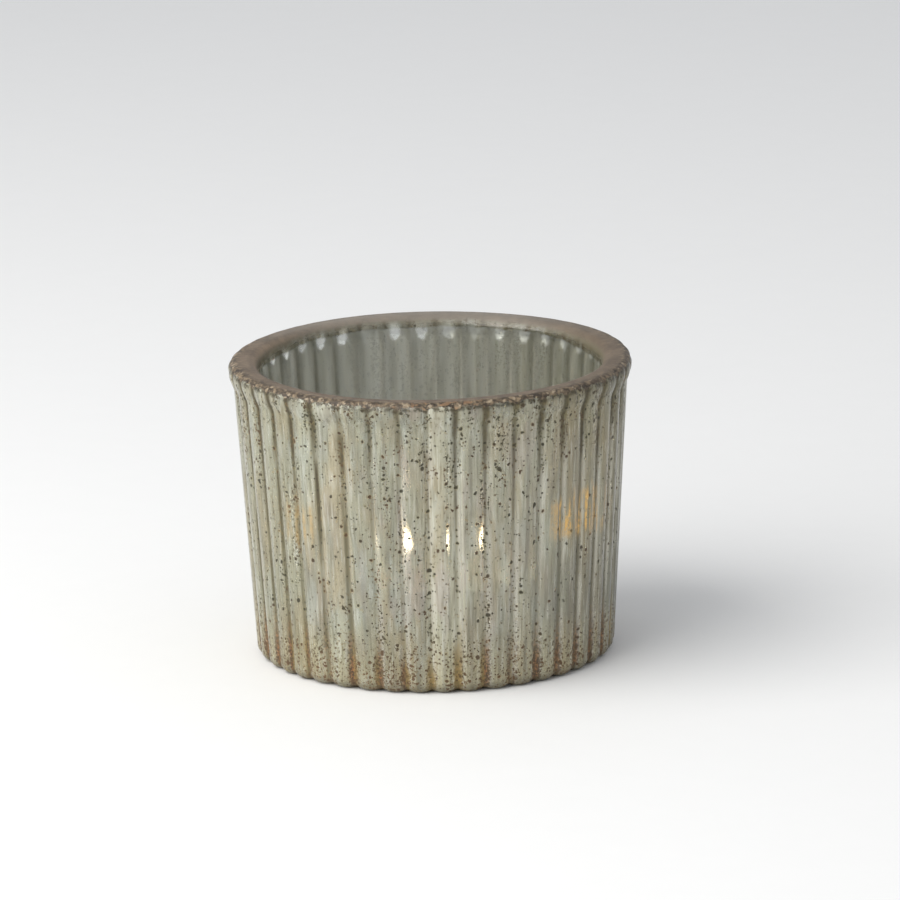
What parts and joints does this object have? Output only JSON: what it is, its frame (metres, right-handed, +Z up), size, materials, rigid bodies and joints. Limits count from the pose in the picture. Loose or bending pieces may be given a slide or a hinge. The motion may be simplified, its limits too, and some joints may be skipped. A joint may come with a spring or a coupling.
{
  "type": "tealight holder",
  "caption": "Thick pressed-glass tealight holder, a slightly tapered cup ribbed outside with an antiqued silver coating, and the tealight in it.",
  "frame": {"origin": "centre of the foot, on the surface that the holder stands on", "axes": "+Z up along the cup's axis; -Y is the side that the picture shows"},
  "size_m": [0.0902, 0.09, 0.067],
  "materials": {
    "silvered_glass": "clear glass with an antiqued, speckled silver coating outside and a taupe bronze rim",
    "aluminium": "bright drawn foil",
    "wax": "white paraffin wax, melted in the middle",
    "cotton": "braided cotton, charred above the wax",
    "tinned_steel": "tinned"
  },
  "bodies": {
    "holder": {"glass_cup": "silvered_glass"},
    "tealight": {"tealight_cup": "aluminium"},
    "candle": {"wax_fill": "wax", "wick": "cotton", "wick_sustainer": "tinned_steel"}
  },
  "joints": [
    {"name": "tealight_lift", "type": "slide", "parent": "holder", "child": "tealight", "axis": [0, 0, 1], "range_m": [0, 0.075]},
    {"name": "candle_lift", "type": "slide", "parent": "tealight", "child": "candle", "axis": [0, 0, 1], "range_m": [0, 0.025]}
  ]
}
